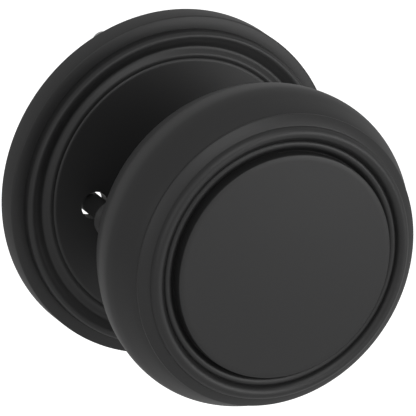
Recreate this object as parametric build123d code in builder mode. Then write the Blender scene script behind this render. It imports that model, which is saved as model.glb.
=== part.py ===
from build123d import *
from math import cos, radians, sin
import os

# Privacy door knob on a round rose.  Millimetres.
# Origin: centre of the rose's back plane, on the knob's axis.
# +Z is up, -Y points out of the door and +Y into it.
os.makedirs("parts", exist_ok=True)

# ---- rose ----
rose_r = 33.35             # back edge of the rose, 2-5/8 in across
rose_panel = 6.9           # flat panel above the door
rose_under = 4.0           # inside face of the panel
rose_wall = 1.65           # side wall thickness
rose_bead_r = 30.85        # foot of the large bead
rose_panel_r = 25.45       # edge of the flat panel

# ---- knob ----
knob_r = 29.86             # widest radius of the knob
knob_top = 50.0            # face plateau above the door
neck_r = 11.5              # neck behind the knob
face_edge_r = 27.1         # sharp outer edge of the face cap
seam = 45.5                # joint between body and face cap
skin = 1.9                 # wall of the hollow body
cap_bore_r = 24.8          # opening that the face cap plugs

# ---- fits ----
running = 0.05             # radial clearance of a running fit
slip = 0.02                # clearance of a fixed joint
end_float = 0.1            # axial clearance of turning faces

# ---- shank, plate and screws ----
shank_r = 9.0
journal_r = 7.6
spindle_side = 8.0
spindle_end = 45.0         # reach of the spindle into the door
plate_t = 2.2
plate_r = 29.4
plate_hole_r = 11.3
slot_half = 6.2            # half height of the plate's window
slot_long = 24.0           # half length of the plate's window
screw_pcd = 38.1           # fixing screws, 1-1/2 in apart
screw_r = 2.08
screw_neck_r = 2.3         # plain shoulder of the screw inside the plate
screw_end = 30.0
washer_t = 0.4

# ---- privacy pin ----
pin_x = -17.62
pin_r = 1.95
pin_hole_r = 2.62
pin_head_r = 3.56
pin_neck = 13.05           # where the shaft meets the flared head
pin_rim = 14.7
pin_tip = 16.2
pin_end = 16.0             # reach of the pin into the door
guide_front = 3.2
guide_back = 8.2

# ---- return spring and stops ----
turn_limit = 45.0
tang_half = 1.2
tang_in = 10.4
tang_out = 12.4
tang_back = 7.8
cam_front = 0.2
cam_back = 1.9
coil_r = 8.45
wire_r = 0.55
coil_front = 2.95
coil_back = 6.95
leg_angle = 10.5
leg_end = 15.7
post_at = 14.2
post_r = 1.55

rose_hole_r = shank_r + running + 1.55
neck_back = rose_panel + end_float

# ================= fixed to the door =================

with BuildPart() as rose:
    with BuildSketch(Plane.XY):
        with BuildLine():
            Polyline((rose_hole_r, -rose_under), (rose_hole_r, -rose_panel), (rose_panel_r, -rose_panel))
            Spline(
                (rose_panel_r, -rose_panel),
                (rose_panel_r + 0.3, -rose_panel + 0.33),
                (rose_panel_r + 0.7, -rose_panel + 0.1),
                (rose_panel_r + 1.2, -rose_panel),
                (rose_panel_r + 1.75, -rose_panel + 0.2),
                (rose_panel_r + 2.3, -rose_panel + 0.62),
                (rose_panel_r + 2.75, -rose_panel + 0.78),
                (rose_bead_r - 2.25, -rose_panel + 0.45),
                (rose_bead_r - 1.75, -rose_panel),
                (rose_bead_r - 1.1, -rose_panel - 0.32),
                (rose_bead_r - 0.5, -rose_panel - 0.1),
                (rose_bead_r - 0.1, -rose_panel + 0.65),
                (rose_bead_r, -rose_panel + 1.9),
            )
            Polyline(
                (rose_bead_r, -rose_panel + 1.9),
                (rose_r - 0.42, -4.65),
                (rose_r - 0.12, -4.35),
                (rose_r, 0),
                (rose_r - rose_wall, 0),
                (rose_r - rose_wall, -2.8),
                (rose_r - rose_wall - 2.1, -rose_under),
                (rose_hole_r, -rose_under),
            )
        make_face()
    revolve(axis=Axis.Y)
    with BuildSketch(Plane.XZ.offset(rose_under - 1)):
        with Locations((pin_x, 0)):
            Circle(pin_hole_r)
    extrude(amount=rose_panel, mode=Mode.SUBTRACT)

with BuildPart() as mounting_plate:
    with BuildSketch(Plane.XZ):
        Circle(plate_r)
        Circle(plate_hole_r, mode=Mode.SUBTRACT)
        SlotOverall(2 * slot_long, 2 * slot_half, mode=Mode.SUBTRACT)
        with Locations((0, screw_pcd / 2), (0, -screw_pcd / 2)):
            Circle(screw_neck_r + 0.12, mode=Mode.SUBTRACT)
        with Locations((0, post_at)):
            Circle(post_r - 0.4, mode=Mode.SUBTRACT)
        with Locations((pin_x, 10.5)):
            Circle(1.0, mode=Mode.SUBTRACT)
    extrude(amount=plate_t)
    for side in (-1, 1):
        stop_from = radians(turn_limit + 6.5)
        stop_to = radians(turn_limit + 12.5)
        with BuildSketch(Plane.XZ):
            with BuildLine():
                Polyline(
                    (side * 11.6 * sin(stop_from), 11.6 * cos(stop_from)),
                    (side * 14.0 * sin(stop_from), 14.0 * cos(stop_from)),
                    (side * 14.0 * sin(stop_to), 14.0 * cos(stop_to)),
                    (side * 11.6 * sin(stop_to), 11.6 * cos(stop_to)),
                    close=True,
                )
            make_face()
        extrude(amount=-5.0)

with BuildPart() as rose_clip:
    with BuildSketch(Plane.XZ.offset(plate_t)):
        Circle(plate_r - 0.2)
        with PolarLocations(plate_r, 6, start_angle=30):
            Rectangle(6.0, 8.0)
        Circle(rose_r - rose_wall - slip, mode=Mode.INTERSECT)
        Circle(plate_r - 2.0, mode=Mode.SUBTRACT)
    extrude(amount=0.55)

with BuildPart() as shank_bushing:
    with BuildSketch(Plane.XY):
        with BuildLine():
            Polyline(
                (shank_r + running, -plate_t),
                (shank_r + running, -rose_panel),
                (rose_hole_r - 0.1, -rose_panel),
                (rose_hole_r - 0.1, -rose_under + slip),
                (12.5, -rose_under + slip),
                (12.5, -plate_t),
                close=True,
            )
        make_face()
    revolve(axis=Axis.Y)

with BuildPart() as spring_post:
    with BuildSketch(Plane.XZ):
        with Locations((0, post_at)):
            Circle(post_r)
    extrude(amount=-8.0)
    with BuildSketch(Plane.XZ):
        with Locations((0, post_at)):
            Circle(post_r - 0.4 - slip)
    extrude(amount=plate_t - 0.2)
    chamfer(spring_post.faces().sort_by(Axis.Y)[-1].edges(), 0.3)

with BuildPart() as screw_washers:
    with BuildSketch(Plane.XZ.offset(plate_t)):
        with Locations((0, screw_pcd / 2), (0, -screw_pcd / 2)):
            Circle(4.1)
            Circle(screw_neck_r + 0.1, mode=Mode.SUBTRACT)
    extrude(amount=washer_t)

with BuildPart() as fixing_screws:
    with BuildSketch(Plane.XZ.offset(-screw_end)):
        with Locations((0, screw_pcd / 2), (0, -screw_pcd / 2)):
            Circle(screw_r)
    extrude(amount=screw_end + plate_t + washer_t)
    chamfer(fixing_screws.faces().sort_by(Axis.Y)[-2:].edges(), 0.5)
    with BuildSketch(Plane.XZ.offset(-0.1)):
        with Locations((0, screw_pcd / 2), (0, -screw_pcd / 2)):
            Circle(screw_neck_r)
    extrude(amount=plate_t + washer_t + 0.1)
    with BuildSketch(Plane.XZ.offset(plate_t + washer_t)):
        with Locations((0, screw_pcd / 2), (0, -screw_pcd / 2)):
            Circle(3.6)
    extrude(amount=1.2)
    with BuildSketch(Plane.XZ.offset(plate_t + washer_t + 0.5)):
        with Locations((0, screw_pcd / 2), (0, -screw_pcd / 2)):
            Rectangle(8.0, 0.9)
    extrude(amount=1.0, mode=Mode.SUBTRACT)

with BuildPart() as pin_guide:
    with BuildSketch(Plane.XZ):
        with Locations((pin_x, 10.0)):
            Rectangle(6.0, 6.4)
        with Locations((pin_x, 10.5)):
            Circle(1.0, mode=Mode.SUBTRACT)
    extrude(amount=-1.2)
    with BuildSketch(Plane.XZ):
        with Locations((pin_x, 7.4)):
            Rectangle(6.0, 1.2)
    extrude(amount=-guide_front - 1.2)
    with BuildSketch(Plane.XZ.offset(-guide_front)):
        with Locations((pin_x, 4.0)):
            Rectangle(6.0, 8.0)
        with Locations((pin_x, 0)):
            Circle(3.2)
    extrude(amount=-1.2)
    with BuildSketch(Plane.XZ.offset(-guide_front)):
        with Locations((pin_x, 0)):
            Circle(3.2)
    extrude(amount=guide_front - guide_back)
    with BuildSketch(Plane.XZ):
        with Locations((pin_x, 0)):
            Circle(pin_r + running)
    extrude(amount=-guide_back - 1, mode=Mode.SUBTRACT)

with BuildPart() as guide_rivet:
    with BuildSketch(Plane.XZ.offset(plate_t)):
        with Locations((pin_x, 10.5)):
            Circle(1.8)
    extrude(amount=0.6)
    with BuildSketch(Plane.XZ.offset(-1.2)):
        with Locations((pin_x, 10.5)):
            Circle(1.0 - slip)
    extrude(amount=plate_t + 1.2)
    with BuildSketch(Plane.XZ.offset(-1.2)):
        with Locations((pin_x, 10.5)):
            Circle(1.8)
    extrude(amount=-0.6)

with BuildPart() as return_spring:
    coil = Helix(
        pitch=(coil_back - coil_front) / (3 + leg_angle / 180),
        height=coil_back - coil_front,
        radius=coil_r,
        center=(0, coil_front, 0),
        direction=(0, 1, 0),
        mode=Mode.PRIVATE,
    ).rotate(Axis.Y, -leg_angle)
    with BuildLine():
        add(coil)
    with BuildSketch(Plane(origin=coil @ 0, z_dir=coil % 0)):
        Circle(wire_r)
    sweep(path=coil)
    for at, turn in ((coil_front, -leg_angle), (coil_back, leg_angle)):
        out = (sin(radians(turn)), 0, cos(radians(turn)))
        with BuildSketch(Plane(origin=(coil_r * out[0], at, coil_r * out[2]), z_dir=out)):
            Circle(wire_r)
        extrude(amount=leg_end - coil_r)

# ================= turns with the knob =================

with BuildPart() as knob_shank:
    with BuildSketch(Plane.XY):
        with BuildLine():
            Polyline(
                (0, -25.6),
                (shank_r - 0.6, -25.6),
                (shank_r, -25.0),
                (shank_r, -2.15),
                (shank_r - 0.7, -2.15),
                (shank_r - 0.7, -1.15),
                (shank_r, -1.15),
                (shank_r, -cam_front),
                (journal_r, -cam_front),
                (journal_r, 8.05),
                (journal_r - 0.5, 8.05),
                (journal_r - 0.5, 8.95),
                (journal_r, 8.95),
                (journal_r, 9.2),
                (journal_r - 0.3, 9.5),
                (0, 9.5),
                close=True,
            )
        make_face()
    revolve(axis=Axis.Y)
    with BuildSketch(Plane.XZ.offset(-10)):
        Rectangle(spindle_side + 0.1, spindle_side + 0.1)
    extrude(amount=30, mode=Mode.SUBTRACT)
    with BuildSketch(Plane.XY.offset(-shank_r - 1)):
        with Locations((0, -10.6)):
            Circle(2.0)
    extrude(amount=1.8, mode=Mode.SUBTRACT)

with BuildPart() as spindle:
    with BuildSketch(Plane.XZ.offset(-spindle_end)):
        Rectangle(spindle_side, spindle_side)
    extrude(amount=spindle_end + 20 - slip)
    chamfer(spindle.edges().filter_by(Axis.Y), 0.4)

with BuildPart() as retaining_ring:
    with BuildSketch(Plane.XZ.offset(1.2)):
        Circle(10.9)
        Circle(shank_r - 0.7 + slip, mode=Mode.SUBTRACT)
        with Locations((0, -9.0)):
            Rectangle(3.0, 5.0, mode=Mode.SUBTRACT)
    extrude(amount=0.9)

with BuildPart() as drive_cam:
    with BuildSketch(Plane.XZ.offset(-cam_front)):
        Circle(8.6)
        with Locations((0, tang_out / 2)):
            Rectangle(2 * tang_half, tang_out)
        Circle(journal_r + slip, mode=Mode.SUBTRACT)
    extrude(amount=cam_front - cam_back)
    with BuildSketch(Plane.XZ.offset(-cam_front)):
        with Locations((0, (tang_in + tang_out) / 2)):
            Rectangle(2 * tang_half, tang_out - tang_in)
    extrude(amount=cam_front - tang_back)

with BuildPart() as spring_washer:
    with BuildSketch(Plane.XZ.offset(-7.55)):
        Circle(8.9)
        Circle(journal_r + slip, mode=Mode.SUBTRACT)
    extrude(amount=-0.5)

with BuildPart() as rear_circlip:
    with BuildSketch(Plane.XZ.offset(-8.05 - slip)):
        Circle(8.9)
        Circle(journal_r - 0.5 + slip, mode=Mode.SUBTRACT)
        with Locations((0, -8.0)):
            Rectangle(2.4, 4.0, mode=Mode.SUBTRACT)
    extrude(amount=-0.85)

with BuildPart() as knob_body:
    with BuildSketch(Plane.XY):
        with BuildLine():
            Polyline((shank_r + slip, -24.0), (shank_r + slip, -neck_back), (neck_r, -neck_back), (neck_r, -12.0))
            Spline(
                (neck_r, -12.0),
                (12.5, -15.0),
                (16.0, -18.3),
                (19.1, -22.0),
                (22.4, -25.0),
                (25.6, -28.0),
                (knob_r - 2.1, -31.0),
                (knob_r - 1.2, -33.2),
                (knob_r - 0.3, -36.0),
                (knob_r, -39.0),
                (knob_r - 0.36, -41.0),
                (knob_r - 1.3, -43.2),
                (knob_r - 3.1, -seam),
                tangents=((0, -1), (-1.3, -1)),
            )
            Polyline((knob_r - 3.1, -seam), (cap_bore_r, -seam), (cap_bore_r, -seam + skin - 0.3))
            Spline(
                (cap_bore_r, -seam + skin - 0.3),
                (knob_r - skin - 0.75, -41.6),
                (knob_r - skin, -39.0),
                (knob_r - skin - 0.35, -36.0),
                (knob_r - skin - 2.1, -31.6),
                (22.9, -28.4),
                (18.6, -24.4),
                (14.4, -19.9),
            )
            Polyline((14.4, -19.9), (neck_r, -19.9), (neck_r, -24.0), (shank_r + slip, -24.0))
        make_face()
    revolve(axis=Axis.Y)
    with BuildSketch(Plane.XY.offset(-neck_r - 2)):
        with Locations((0, -10.6)):
            Circle(2.0)
    extrude(amount=neck_r, mode=Mode.SUBTRACT)

with BuildPart() as knob_face:
    with BuildSketch(Plane.XY):
        with BuildLine():
            Polyline(
                (20.65, -47.7),
                (20.65, -knob_top + 0.25),
                (20.45, -knob_top),
            )
            Spline((20.45, -knob_top), (12.0, -knob_top - 0.36), (0, -knob_top - 0.6), tangents=((-1, -0.06), (-1, 0)))
            Polyline((0, -knob_top - 0.6), (0, -48.3), (19.3, -48.3), (19.3, -46.0), (cap_bore_r - 1.4, -46.0))
            Polyline(
                (cap_bore_r - 1.4, -46.0),
                (cap_bore_r - 1.4, -seam + 2.2),
                (cap_bore_r - slip, -seam + 2.2),
                (cap_bore_r - slip, -seam - slip),
                (knob_r - 3.25, -seam - slip),
                (face_edge_r - 0.2, -46.05),
                (face_edge_r, -46.45),
                (face_edge_r, -46.9),
                (25.34, -47.98),
            )
            Spline((25.34, -47.98), (25.2, -48.5), (24.7, -49.1), (24.0, -49.22), (23.25, -48.85), (22.82, -48.15))
            Spline((22.82, -48.15), (22.6, -48.55), (22.1, -48.76), (21.65, -48.5), (21.35, -47.7))
            Line((21.35, -47.7), (20.65, -47.7))
        make_face()
    revolve(axis=Axis.Y)

with BuildPart() as set_screw:
    with BuildSketch(Plane.XY.offset(-neck_r + 0.3)):
        with Locations((0, -10.6)):
            Circle(2.0 - slip)
    extrude(amount=neck_r - 0.3 - shank_r + 0.75)
    with BuildSketch(Plane.XY.offset(-neck_r + 0.3)):
        with Locations((0, -10.6)):
            RegularPolygon(1.0, 6)
    extrude(amount=1.4, mode=Mode.SUBTRACT)

# ================= slides: the privacy pin =================

with BuildPart() as privacy_pin:
    with BuildSketch(Plane.XZ.offset(-pin_end)):
        with Locations((pin_x, 0)):
            Circle(pin_r)
    extrude(amount=pin_end + pin_neck)
    chamfer(privacy_pin.faces().sort_by(Axis.Y)[-1].edges(), 0.5)
    with BuildSketch(Plane.XZ.offset(pin_neck)):
        with Locations((pin_x, 0)):
            Circle(1.2)
    extrude(amount=1.8)
    with BuildSketch(Plane.XZ.offset(-guide_back - 0.05)):
        with Locations((pin_x, 0)):
            Circle(pin_r + 0.5)
            Circle(pin_r - 0.4, mode=Mode.SUBTRACT)
    extrude(amount=-0.8, mode=Mode.SUBTRACT)

with BuildPart() as pin_head:
    with BuildSketch(Plane.XY):
        with BuildLine():
            Polyline((pin_x, -pin_neck - 1.82), (pin_x + 1.22, -pin_neck - 1.82), (pin_x + 1.22, -pin_neck))
            Line((pin_x + 1.22, -pin_neck), (pin_x + pin_r, -pin_neck))
            Spline(
                (pin_x + pin_r, -pin_neck),
                (pin_x + pin_r + 0.4, -pin_neck - 0.6),
                (pin_x + pin_head_r - 0.08, -pin_rim + 0.22),
                (pin_x + pin_head_r, -pin_rim),
                (pin_x + pin_head_r - 0.2, -pin_rim - 0.4),
                (pin_x + 1.7, -pin_tip + 0.3),
                (pin_x, -pin_tip),
                tangents=((0.2, -1), (-1, 0)),
            )
            Line((pin_x, -pin_tip), (pin_x, -pin_neck - 1.82))
        make_face()
    revolve(axis=Axis((pin_x, 0, 0), (0, 1, 0)))

with BuildPart() as pin_stop_clip:
    with BuildSketch(Plane.XZ.offset(-guide_back - 0.05)):
        with Locations((pin_x, 0)):
            Circle(3.2)
            Circle(pin_r - 0.4 + slip, mode=Mode.SUBTRACT)
        with Locations((pin_x - 2.4, 0)):
            Rectangle(2.4, 1.6, mode=Mode.SUBTRACT)
    extrude(amount=-0.75)

rose.part.label = "rose"
mounting_plate.part.label = "mounting_plate"
rose_clip.part.label = "rose_clip"
shank_bushing.part.label = "shank_bushing"
spring_post.part.label = "spring_post"
screw_washers.part.label = "screw_washers"
fixing_screws.part.label = "fixing_screws"
pin_guide.part.label = "pin_guide"
guide_rivet.part.label = "guide_rivet"
return_spring.part.label = "return_spring"
knob_shank.part.label = "knob_shank"
spindle.part.label = "spindle"
retaining_ring.part.label = "retaining_ring"
drive_cam.part.label = "drive_cam"
spring_washer.part.label = "spring_washer"
rear_circlip.part.label = "rear_circlip"
knob_body.part.label = "knob_body"
knob_face.part.label = "knob_face"
set_screw.part.label = "set_screw"
privacy_pin.part.label = "privacy_pin"
pin_head.part.label = "pin_head"
pin_stop_clip.part.label = "pin_stop_clip"

export_step(rose.part, "parts/rose.step")
export_step(mounting_plate.part, "parts/mounting_plate.step")
export_step(rose_clip.part, "parts/rose_clip.step")
export_step(shank_bushing.part, "parts/shank_bushing.step")
export_step(spring_post.part, "parts/spring_post.step")
export_step(screw_washers.part, "parts/screw_washers.step")
export_step(fixing_screws.part, "parts/fixing_screws.step")
export_step(pin_guide.part, "parts/pin_guide.step")
export_step(guide_rivet.part, "parts/guide_rivet.step")
export_step(return_spring.part, "parts/return_spring.step")
export_step(knob_shank.part, "parts/knob_shank.step")
export_step(spindle.part, "parts/spindle.step")
export_step(retaining_ring.part, "parts/retaining_ring.step")
export_step(drive_cam.part, "parts/drive_cam.step")
export_step(spring_washer.part, "parts/spring_washer.step")
export_step(rear_circlip.part, "parts/rear_circlip.step")
export_step(knob_body.part, "parts/knob_body.step")
export_step(knob_face.part, "parts/knob_face.step")
export_step(set_screw.part, "parts/set_screw.step")
export_step(privacy_pin.part, "parts/privacy_pin.step")
export_step(pin_head.part, "parts/pin_head.step")
export_step(pin_stop_clip.part, "parts/pin_stop_clip.step")
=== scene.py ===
"""Privacy door knob on a round rose: finished surfaces, materials and a plain studio."""
from math import cos, pi, radians, sin

import bpy
import numpy as np
from mathutils import Matrix, Vector


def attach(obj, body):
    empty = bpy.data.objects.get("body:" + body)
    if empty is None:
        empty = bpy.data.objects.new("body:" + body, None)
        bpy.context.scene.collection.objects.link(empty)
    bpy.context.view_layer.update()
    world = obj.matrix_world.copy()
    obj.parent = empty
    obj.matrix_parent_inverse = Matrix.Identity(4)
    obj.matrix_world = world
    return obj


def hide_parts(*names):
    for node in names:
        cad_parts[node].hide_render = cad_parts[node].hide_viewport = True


bl_info = {
    "name": "Privacy Door Knob",
    "version": (1, 0, 0),
    "blender": (4, 2, 0),
    "location": "View3D > Sidebar > Door Knob",
    "description": "Finishes a round privacy door knob and lights it in a plain studio",
    "category": "Object",
}

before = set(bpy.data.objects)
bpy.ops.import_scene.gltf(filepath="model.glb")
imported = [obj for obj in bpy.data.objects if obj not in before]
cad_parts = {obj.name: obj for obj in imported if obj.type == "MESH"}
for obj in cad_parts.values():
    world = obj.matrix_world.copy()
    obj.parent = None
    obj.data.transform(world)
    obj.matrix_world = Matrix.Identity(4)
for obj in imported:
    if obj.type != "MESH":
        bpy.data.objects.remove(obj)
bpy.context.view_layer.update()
MM = 0.001

# Fixed seats of the CAD, in millimetres, which the turned pieces meet
ROSE_WALL = 1.65            # side wall of the rose
ROSE_BORE = 10.6            # centre hole of the rose
SHANK_BORE = 9.02           # hole through the knob's neck
NECK = 11.5                 # outside of the neck
SKIN = 1.9                  # wall of the hollow knob
JOINT = 46.12               # joint between knob body and face cap, above the door
CAP_BORE = 24.8             # opening in the knob that the cap plugs
SET_SCREW = (2.0, 10.6)     # radius of its hole, and its height above the door
SLIP = 0.02                 # clearance of a fixed joint

# Stage, in metres
FLOOR_HALF = 6.0
FLOOR_HEIGHT = -0.16
AIM = (0, -0.02, 0)         # where the lamps point
LAMPS = (                   # name, place, side of the square, watts
    ("top_softbox", (0.0, -0.60, 0.58), 0.50, 1.2),
    ("left_softbox", (-0.62, -0.50, 0.25), 0.50, 0.5),
    ("right_softbox", (0.62, -0.85, 0.12), 0.55, 2.5),
)
WORLD_LIGHT = 0.45          # strength as a source of light
WORLD_IN_GLOSS = 0.47       # strength in reflections
FLOOR_GLOW = 0.8            # added to the floor where the camera sees it
CAMERA_PLACE = (-0.217616, -0.471650, 0.187968)
CAMERA_TURN = -25.646       # degrees from straight in front
CAMERA_LIFT = 20.446        # degrees above the horizon
CAMERA_LENS = 253.4


class KnobSizes(bpy.types.PropertyGroup):
    """Sizes that a user may change"""

    knob_radius: bpy.props.FloatProperty(
        name="Knob radius", description="Widest radius of the knob", default=0.02986, unit="LENGTH")
    face_height: bpy.props.FloatProperty(
        name="Face height", description="Face plateau above the door", default=0.050, unit="LENGTH")
    rose_radius: bpy.props.FloatProperty(
        name="Rose radius", description="Back edge of the rose", default=0.03335, unit="LENGTH")
    panel_height: bpy.props.FloatProperty(
        name="Panel height", description="Flat panel of the rose above the door", default=0.0069,
        unit="LENGTH")
    pin_offset: bpy.props.FloatProperty(
        name="Pin offset", description="Distance from the knob's axis to the pin", default=0.01762,
        unit="LENGTH")
    pin_hole: bpy.props.FloatProperty(
        name="Pin hole radius", description="Clearance hole around the pin", default=0.00262, unit="LENGTH")
    around: bpy.props.IntProperty(
        name="Steps around", description="Faces around each turned piece", default=288, min=24)


class KnobFinish(bpy.types.PropertyGroup):
    """Colours and surface finish"""

    coat: bpy.props.FloatVectorProperty(
        name="Coat", description="Black powder coat", subtype="COLOR", size=3,
        default=(0.0165, 0.0165, 0.0168), min=0.0, max=1.0)
    coat_roughness: bpy.props.FloatProperty(
        name="Coat roughness", description="Satin sheen of the coat", default=0.42, min=0.0, max=1.0)
    grain: bpy.props.FloatProperty(
        name="Coat grain", description="Strength of the coat's fine texture", default=0.06, min=0.0, max=1.0)
    steel: bpy.props.FloatVectorProperty(
        name="Steel", description="Bare steel of hidden fittings", subtype="COLOR", size=3,
        default=(0.50, 0.50, 0.49), min=0.0, max=1.0)
    zinc: bpy.props.FloatVectorProperty(
        name="Zinc", description="Plated plate and cam", subtype="COLOR", size=3, default=(0.60, 0.60, 0.57),
        min=0.0, max=1.0)
    nylon: bpy.props.FloatVectorProperty(
        name="Nylon", description="Bearing bush", subtype="COLOR", size=3, default=(0.70, 0.69, 0.63),
        min=0.0, max=1.0)


# ---- shapes ----

def curve(points, steps=8):
    """Catmull-Rom curve through the points: each span is the cubic that leaves and arrives along the
    chord between its neighbours, sampled evenly."""
    p = np.asarray(points, float)
    ends = np.vstack([2 * p[0] - p[1], p, 2 * p[-1] - p[-2]])
    t = np.linspace(0, 1, steps, endpoint=False)[None, :, None]
    a, b, c, d = (ends[i:len(ends) - 3 + i][:, None, :] for i in range(4))
    out = 0.5 * (2 * b + (c - a) * t + (2 * a - 5 * b + 4 * c - d) * t**2 + (3 * b - a - 3 * c + d) * t**3)
    return np.vstack([out.reshape(-1, 2), p[-1:]])


def join(*runs):
    """The runs end to end, without the points where one run starts on the last one's end."""
    p = np.vstack([np.asarray(r, float).reshape(-1, 2) for r in runs])
    keep = np.append(True, np.linalg.norm(np.diff(p, axis=0), axis=1) > 1e-6)
    return p[keep]


def turned(name, profile, around, centre=0.0):
    """Profile points (radius, height out of the door) in millimetres, turned about the line x = centre
    that runs along Y: x = centre + r sin u, y = -h, z = r cos u.  A profile that starts and ends on the
    line is closed by one pole at each end, and any other is a loop that closes on itself."""
    p = np.asarray(profile, float)
    solid = p[0, 0] == 0
    rings = p[1:-1] if solid else p[:-1]
    u = np.linspace(0, 2 * pi, around, endpoint=False)
    r, h = rings.T[:, :, None]
    verts = np.stack([centre + r * np.sin(u), -h + 0 * u, r * np.cos(u)], -1).reshape(-1, 3)
    i = np.arange(len(rings) - solid)[:, None] * around
    j = (i + around) % len(verts)
    k = np.arange(around)
    k2 = (k + 1) % around
    faces = np.stack([i + k, j + k, j + k2, i + k2], -1).reshape(-1, 4).tolist()
    if solid:
        first, last = len(verts), len(verts) + 1
        end = len(verts) - around
        verts = np.vstack([verts, [[centre, -p[0, 1], 0], [centre, -p[-1, 1], 0]]])
        faces += np.column_stack([np.full(around, first), k, k2]).tolist()
        faces += np.column_stack([end + k, np.full(around, last), end + k2]).tolist()
    mesh = bpy.data.meshes.new(name)
    mesh.from_pydata((verts * MM).tolist(), [], faces)
    mesh.update()
    obj = bpy.data.objects.new(name, mesh)
    bpy.context.scene.collection.objects.link(obj)
    face_outwards(mesh)
    smooth(mesh)
    return obj


def face_outwards(mesh):
    """Turns every face over when the mesh's signed volume is negative."""
    n = len(mesh.vertices)
    co = np.empty(n * 3)
    mesh.vertices.foreach_get("co", co)
    co = co.reshape(-1, 3)
    mesh.calc_loop_triangles()
    tri = np.empty(len(mesh.loop_triangles) * 3, int)
    mesh.loop_triangles.foreach_get("vertices", tri)
    a, b, c = co[tri.reshape(-1, 3)].transpose(1, 0, 2)
    if np.einsum("ij,ij->", a, np.cross(b, c)) < 0:
        mesh.flip_normals()


def smooth(mesh, angle=28):
    """Smooth shading, with an edge kept sharp where its faces meet at more than the angle."""
    mesh.shade_smooth()
    mesh.set_sharp_from_angle(angle=radians(angle))
    mesh.update()


def cut(obj, cutter):
    """Takes the cutter's solid out of the piece, and removes the cutter."""
    mod = obj.modifiers.new("cut", "BOOLEAN")
    mod.operation = "DIFFERENCE"
    mod.solver = "EXACT"
    mod.object = cutter
    bpy.context.view_layer.update()
    shape = bpy.data.meshes.new_from_object(obj.evaluated_get(bpy.context.evaluated_depsgraph_get()))
    obj.modifiers.remove(mod)
    obj.data = shape
    bpy.data.objects.remove(cutter)
    smooth(shape)


# ---- materials ----

def material(name):
    """A new material with its shader, and its node tree."""
    mat = bpy.data.materials.get(name) or bpy.data.materials.new(name)
    mat.use_nodes = True
    return mat, mat.node_tree, mat.node_tree.nodes["Principled BSDF"]


def noise(tree, scale, stretch=(1, 1, 1)):
    """Noise on the piece's own coordinates, in metres."""
    where = tree.nodes.new("ShaderNodeTexCoord")
    place = tree.nodes.new("ShaderNodeMapping")
    place.inputs["Scale"].default_value = stretch
    grain = tree.nodes.new("ShaderNodeTexNoise")
    grain.inputs["Scale"].default_value = scale
    grain.inputs["Detail"].default_value = 3.0
    tree.links.new(where.outputs["Object"], place.inputs["Vector"])
    tree.links.new(place.outputs["Vector"], grain.inputs["Vector"])
    return grain


def bump(tree, shader, grain, strength, distance):
    """Grain as a bump of that depth in metres."""
    node = tree.nodes.new("ShaderNodeBump")
    node.inputs["Strength"].default_value = strength
    node.inputs["Distance"].default_value = distance
    tree.links.new(grain.outputs["Fac"], node.inputs["Height"])
    tree.links.new(node.outputs["Normal"], shader.inputs["Normal"])


def powder_coat(name, finish):
    """Satin black powder coat: an even dark colour with a very fine skin texture."""
    mat, tree, shader = material(name)
    shader.inputs["Base Color"].default_value = (*finish.coat, 1)
    shader.inputs["Roughness"].default_value = finish.coat_roughness
    bump(tree, shader, noise(tree, 2600), finish.grain, 0.0001)
    return mat


def bare_metal(name, colour, roughness, scale):
    """Plated or spring metal with a faint rolled grain along X."""
    mat, tree, shader = material(name)
    shader.inputs["Metallic"].default_value = 1.0
    shader.inputs["Roughness"].default_value = roughness
    grain = noise(tree, scale, (0.15, 1, 1))
    ramp = tree.nodes.new("ShaderNodeValToRGB")
    ramp.color_ramp.elements[0].color = (*[c * 0.86 for c in colour], 1)
    ramp.color_ramp.elements[1].color = (*[min(1, c * 1.08) for c in colour], 1)
    tree.links.new(grain.outputs["Fac"], ramp.inputs["Fac"])
    tree.links.new(ramp.outputs["Color"], shader.inputs["Base Color"])
    bump(tree, shader, grain, 0.05, 0.0001)
    return mat


def moulded(name, colour):
    """Off-white moulded nylon."""
    mat, tree, shader = material(name)
    shader.inputs["Base Color"].default_value = (*colour, 1)
    shader.inputs["Roughness"].default_value = 0.55
    bump(tree, shader, noise(tree, 1500), 0.05, 0.0001)
    return mat


def paint(obj, mat):
    """The piece's one material, in its first slot."""
    if not obj.material_slots:
        obj.data.materials.append(mat)
    for held in obj.material_slots:
        held.material = mat


def finish_piece(obj, mat, body, slot, *nodes):
    """The piece gets its material, rides on its body and stands for its CAD nodes."""
    paint(obj, mat)
    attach(obj, body)
    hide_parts(*nodes)


# ---- operators ----

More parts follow.
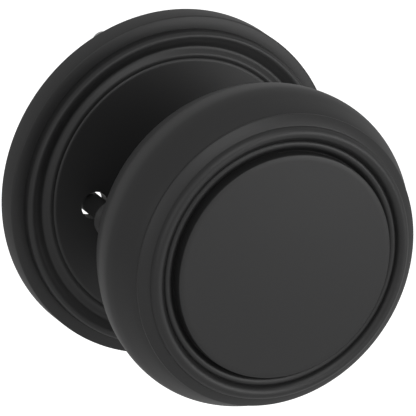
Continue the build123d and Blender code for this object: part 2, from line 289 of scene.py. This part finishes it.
class DOORKNOB_OT_rose(bpy.types.Operator):
    """Turned rose with a large bead, a groove, a small bead and a flat panel with the pin's hole"""

    bl_idname = "doorknob.rose"
    bl_label = "Rose"

    def execute(self, context):
        size = context.scene.doorknob_sizes
        finish = context.scene.doorknob_finish
        r = size.rose_radius / MM
        p = size.panel_height / MM
        profile = join(
            [(ROSE_BORE, 4.0), (ROSE_BORE, p - 0.08), (ROSE_BORE + 0.08, p), (25.1, p)],
            curve([(25.1, p), (25.35, p - 0.03), (25.58, p - 0.11), (25.74, p - 0.24)], 4),
            curve([(25.74, p - 0.24), (25.95, p - 0.14), (26.25, p - 0.08), (26.6, p - 0.14),
                   (27.05, p - 0.4), (27.5, p - 0.66), (27.95, p - 0.75), (28.45, p - 0.5),
                   (29.0, p - 0.12), (29.5, p + 0.14), (30.0, p + 0.2), (30.4, p + 0.02),
                   (30.72, p - 0.6), (30.84, p - 1.96)], 8),
            [(30.84, p - 1.96), (30.98, p - 1.93), (32.86, 4.66)],
            curve([(32.86, 4.66), (33.1, 4.57), (33.22, 4.34)], 5),
            [(33.22, 4.34), (r, 0.06), (r - 0.05, 0.0), (r - ROSE_WALL, 0.0), (r - ROSE_WALL, 2.8),
             (29.6, 4.0), (ROSE_BORE, 4.0)],
        )
        obj = turned("rose_skin", profile, size.around)
        hole = size.pin_hole / MM
        tool = turned("pin_hole_tool", [(0, 1), (hole, 1), (hole, 12), (0, 12)], 96, -size.pin_offset / MM)
        cut(obj, tool)
        finish_piece(obj, powder_coat("rose_coat", finish), "mount", "black_rose", "rose")
        return {"FINISHED"}


class DOORKNOB_OT_knob(bpy.types.Operator):
    """Hollow turned knob body, and its stepped and slightly crowned face cap"""

    bl_idname = "doorknob.knob"
    bl_label = "Knob"

    def execute(self, context):
        size = context.scene.doorknob_sizes
        finish = context.scene.doorknob_finish
        k = size.knob_radius / MM
        top = size.face_height / MM
        coat = powder_coat("knob_coat", finish)
        body = join(
            [(SHANK_BORE, 24.0), (SHANK_BORE, 7.0), (NECK - 0.08, 7.0), (NECK, 7.08), (NECK, 12.0)],
            curve([(NECK, 12.0), (11.72, 13.6), (12.5, 15.0), (16.0, 18.3), (19.1, 22.0), (22.4, 25.0),
                   (25.6, 28.0), (k - 2.1, 31.0), (k - 1.2, 33.2), (k - 0.3, 36.0), (k, 39.0),
                   (k - 0.36, 41.0), (k - 1.3, 43.2), (k - 2.2, 44.95), (k - 2.96, JOINT)], 12),
            [(k - 2.96, JOINT), (CAP_BORE, JOINT), (CAP_BORE, 43.9)],
            curve([(CAP_BORE, 43.9), (k - SKIN - 0.75, 41.6), (k - SKIN, 39.0), (k - SKIN - 0.35, 36.0),
                   (k - SKIN - 2.1, 31.6), (22.9, 28.4), (18.6, 24.4), (14.4, 19.9)], 6),
            [(14.4, 19.9), (NECK, 19.9), (NECK, 24.0), (SHANK_BORE, 24.0)],
        )
        shell = turned("knob_shell", body, size.around)
        radius, height = SET_SCREW
        bore = turned("set_screw_tool", [(0, 8.6), (radius, 8.6), (radius, 14), (0, 14)], 64)
        bore.data.transform(Matrix.Translation((0, -height * MM, 0)) @ Matrix.Rotation(radians(90), 4, "X"))
        cut(shell, bore)
        finish_piece(shell, coat, "knob", "black_knob", "knob_body")
        cap = join(
            curve([(0, top + 0.6), (7.0, top + 0.53), (14.0, top + 0.3), (20.3, top + 0.02)], 8),
            curve([(20.3, top + 0.02), (20.55, top - 0.08), (20.65, top - 0.3)], 4),
            [(20.65, top - 0.3), (20.68, top - 2.28)],
            curve([(20.68, top - 2.28), (20.9, top - 2.2), (21.2, top - 1.86), (21.6, top - 1.55),
                   (22.05, top - 1.44), (22.42, top - 1.54), (22.72, top - 1.84)], 6),
            curve([(22.72, top - 1.84), (23.0, top - 1.34), (23.46, top - 0.93), (24.05, top - 0.78),
                   (24.6, top - 0.92), (25.05, top - 1.35), (25.28, top - 2.0)], 7),
            [(25.28, top - 2.0), (25.42, top - 2.05), (27.0, top - 3.03)],
            curve([(27.0, top - 3.03), (27.08, top - 3.12), (27.1, top - 3.3)], 4),
            [(27.1, top - 3.3), (27.08, top - 3.52), (26.86, JOINT + SLIP), (CAP_BORE - SLIP, JOINT + SLIP),
             (CAP_BORE - SLIP, 43.3), (23.4, 43.3), (23.4, 46.0), (19.3, 46.0), (19.3, 48.3), (0, 48.3)],
        )
        face = turned("knob_cap", cap, size.around)
        finish_piece(face, coat, "knob", "black_knob", "knob_face")
        return {"FINISHED"}


class DOORKNOB_OT_pin(bpy.types.Operator):
    """Mushroom head of the privacy pin, domed in front and flared behind"""

    bl_idname = "doorknob.pin"
    bl_label = "Privacy pin"

    def execute(self, context):
        size = context.scene.doorknob_sizes
        coat = powder_coat("pin_coat", context.scene.doorknob_finish)
        profile = join(
            [(0, 14.87), (1.22, 14.87), (1.22, 13.05), (1.95, 13.05)],
            curve([(1.95, 13.05), (2.12, 13.42), (2.7, 14.0), (3.42, 14.45)], 6),
            curve([(3.42, 14.45), (3.54, 14.62), (3.5, 14.86)], 4),
            curve([(3.5, 14.86), (3.05, 15.32), (2.3, 15.78), (1.2, 16.1), (0, 16.2)], 8),
        )
        head = turned("pin_button", profile, 128, -size.pin_offset / MM)
        finish_piece(head, coat, "pin", "black_pin", "pin_head")
        paint(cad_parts["privacy_pin"], coat)
        return {"FINISHED"}


class DOORKNOB_OT_fittings(bpy.types.Operator):
    """Finishes of the plate, screws, springs, cam, spindle and bush behind the rose"""

    bl_idname = "doorknob.fittings"
    bl_label = "Hidden fittings"

    def execute(self, context):
        finish = context.scene.doorknob_finish
        zinc = bare_metal("zinc_plating", finish.zinc, 0.38, 900)
        steel = bare_metal("screw_steel", finish.steel, 0.3, 1400)
        spring = bare_metal("spring_steel", [c * 0.75 for c in finish.steel], 0.33, 1800)
        nylon = moulded("bush_nylon", finish.nylon)
        sets = (
            (zinc, ("mounting_plate", "spring_post", "screw_washers", "pin_guide", "knob_shank",
                    "drive_cam")),
            (steel, ("fixing_screws", "guide_rivet", "spindle", "set_screw")),
            (spring, ("rose_clip", "return_spring", "retaining_ring", "spring_washer", "rear_circlip",
                      "pin_stop_clip")),
            (nylon, ("shank_bushing",)),
        )
        for mat, nodes in sets:
            for node in nodes:
                paint(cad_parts[node], mat)
        return {"FINISHED"}


class DOORKNOB_OT_stage(bpy.types.Operator):
    """Plain pale floor and backdrop, soft lamps, world and camera"""

    bl_idname = "doorknob.stage"
    bl_label = "Stage"

    def execute(self, context):
        scene = context.scene
        scene.view_settings.view_transform = "Standard"
        backdrop()
        white_world(scene)
        for name, place, side, power in LAMPS:
            lamp(name, place, side, power)
        studio_camera(scene)
        return {"FINISHED"}


# ---- stage ----

def pale(mat, tree):
    """A pale matt surface that shows nearly white to the camera and keeps its shadows."""
    shader = tree.nodes["Principled BSDF"]
    shader.inputs["Base Color"].default_value = (0.85, 0.85, 0.85, 1)
    shader.inputs["Roughness"].default_value = 0.9
    path = tree.nodes.new("ShaderNodeLightPath")
    glow = tree.nodes.new("ShaderNodeEmission")
    both = tree.nodes.new("ShaderNodeAddShader")
    level = tree.nodes.new("ShaderNodeMath")
    level.operation = "MULTIPLY"
    level.inputs[1].default_value = FLOOR_GLOW
    tree.links.new(path.outputs["Is Camera Ray"], level.inputs[0])
    tree.links.new(level.outputs[0], glow.inputs["Strength"])
    tree.links.new(shader.outputs[0], both.inputs[0])
    tree.links.new(glow.outputs[0], both.inputs[1])
    tree.links.new(both.outputs[0], tree.nodes["Material Output"].inputs["Surface"])
    return mat


def backdrop():
    """A flat square floor below the object: x and y run evenly from edge to edge at one height."""
    edges = np.linspace(-FLOOR_HALF, FLOOR_HALF, 2)
    x, y = np.meshgrid(edges, edges)
    verts = np.column_stack([x.ravel(), y.ravel(), np.full(4, FLOOR_HEIGHT)])
    mesh = bpy.data.meshes.new("floor")
    mesh.from_pydata(verts.tolist(), [], [(0, 1, 3, 2)])
    floor = bpy.data.objects.new("floor", mesh)
    bpy.context.scene.collection.objects.link(floor)
    mat, tree, _ = material("floor_paper")
    mesh.materials.append(pale(mat, tree))


def white_world(scene):
    """White where the camera or a reflection sees it, and dim as a source of light."""
    world = bpy.data.worlds.new("studio")
    scene.world = world
    world.use_nodes = True
    tree = world.node_tree
    path = tree.nodes.new("ShaderNodeLightPath")
    seen = tree.nodes.new("ShaderNodeMath")
    seen.operation = "MAXIMUM"
    glossy = tree.nodes.new("ShaderNodeMath")
    glossy.operation = "MULTIPLY"
    glossy.inputs[1].default_value = WORLD_IN_GLOSS
    clear = tree.nodes.new("ShaderNodeMath")
    clear.operation = "MAXIMUM"
    level = tree.nodes.new("ShaderNodeMath")
    level.operation = "MAXIMUM"
    level.inputs[1].default_value = WORLD_LIGHT
    tree.links.new(path.outputs["Is Glossy Ray"], glossy.inputs[0])
    tree.links.new(path.outputs["Is Camera Ray"], seen.inputs[0])
    tree.links.new(glossy.outputs[0], seen.inputs[1])
    tree.links.new(seen.outputs[0], clear.inputs[0])
    tree.links.new(path.outputs["Is Transmission Ray"], clear.inputs[1])
    tree.links.new(clear.outputs[0], level.inputs[0])
    back = tree.nodes["Background"]
    back.inputs["Color"].default_value = (1, 1, 1, 1)
    tree.links.new(level.outputs[0], back.inputs["Strength"])


def lamp(name, place, side, power):
    """A square soft lamp that faces the object."""
    data = bpy.data.lights.new(name, "AREA")
    data.size = side
    data.energy = power
    obj = bpy.data.objects.new(name, data)
    bpy.context.scene.collection.objects.link(obj)
    obj.location = place
    obj.rotation_euler = (Vector(AIM) - Vector(place)).to_track_quat("-Z", "Y").to_euler()


def studio_camera(scene):
    """A long lens from the upper left, looking beside the knob's axis."""
    turn, lift = radians(CAMERA_TURN), radians(CAMERA_LIFT)
    right = Vector((cos(turn), sin(turn), 0))
    back = Vector((sin(turn) * cos(lift), -cos(turn) * cos(lift), sin(lift)))
    up = back.cross(right)
    data = bpy.data.cameras.new("camera")
    data.lens = CAMERA_LENS
    data.sensor_width = 36
    camera = bpy.data.objects.new("camera", data)
    scene.collection.objects.link(camera)
    pose = Matrix((right, up, back)).transposed().to_4x4()
    pose.translation = CAMERA_PLACE
    camera.matrix_world = pose
    scene.camera = camera


# ---- panel ----

class DOORKNOB_PT_panel(bpy.types.Panel):
    """Door knob pieces"""

    bl_idname = "DOORKNOB_PT_panel"
    bl_label = "Door Knob"
    bl_space_type = "VIEW_3D"
    bl_region_type = "UI"
    bl_category = "Door Knob"

    def draw(self, context):
        col = self.layout.column()
        for group in (context.scene.doorknob_sizes, context.scene.doorknob_finish):
            for prop in group.bl_rna.properties:
                if not prop.is_readonly and prop.identifier != "name":
                    col.prop(group, prop.identifier)
        for step in STEPS:
            col.operator(step.bl_idname)


STEPS = (DOORKNOB_OT_rose, DOORKNOB_OT_knob, DOORKNOB_OT_pin, DOORKNOB_OT_fittings, DOORKNOB_OT_stage)
CLASSES = (KnobSizes, KnobFinish, *STEPS, DOORKNOB_PT_panel)


def register():
    for cls in CLASSES:
        bpy.utils.register_class(cls)
    bpy.types.Scene.doorknob_sizes = bpy.props.PointerProperty(type=KnobSizes)
    bpy.types.Scene.doorknob_finish = bpy.props.PointerProperty(type=KnobFinish)


def unregister():
    del bpy.types.Scene.doorknob_finish
    del bpy.types.Scene.doorknob_sizes
    for cls in reversed(CLASSES):
        bpy.utils.unregister_class(cls)


def main():
    """Builds the pieces and the stage."""
    register()
    bpy.ops.doorknob.rose()
    bpy.ops.doorknob.knob()
    bpy.ops.doorknob.pin()
    bpy.ops.doorknob.fittings()
    bpy.ops.doorknob.stage()


if __name__ == "__main__":
    main()
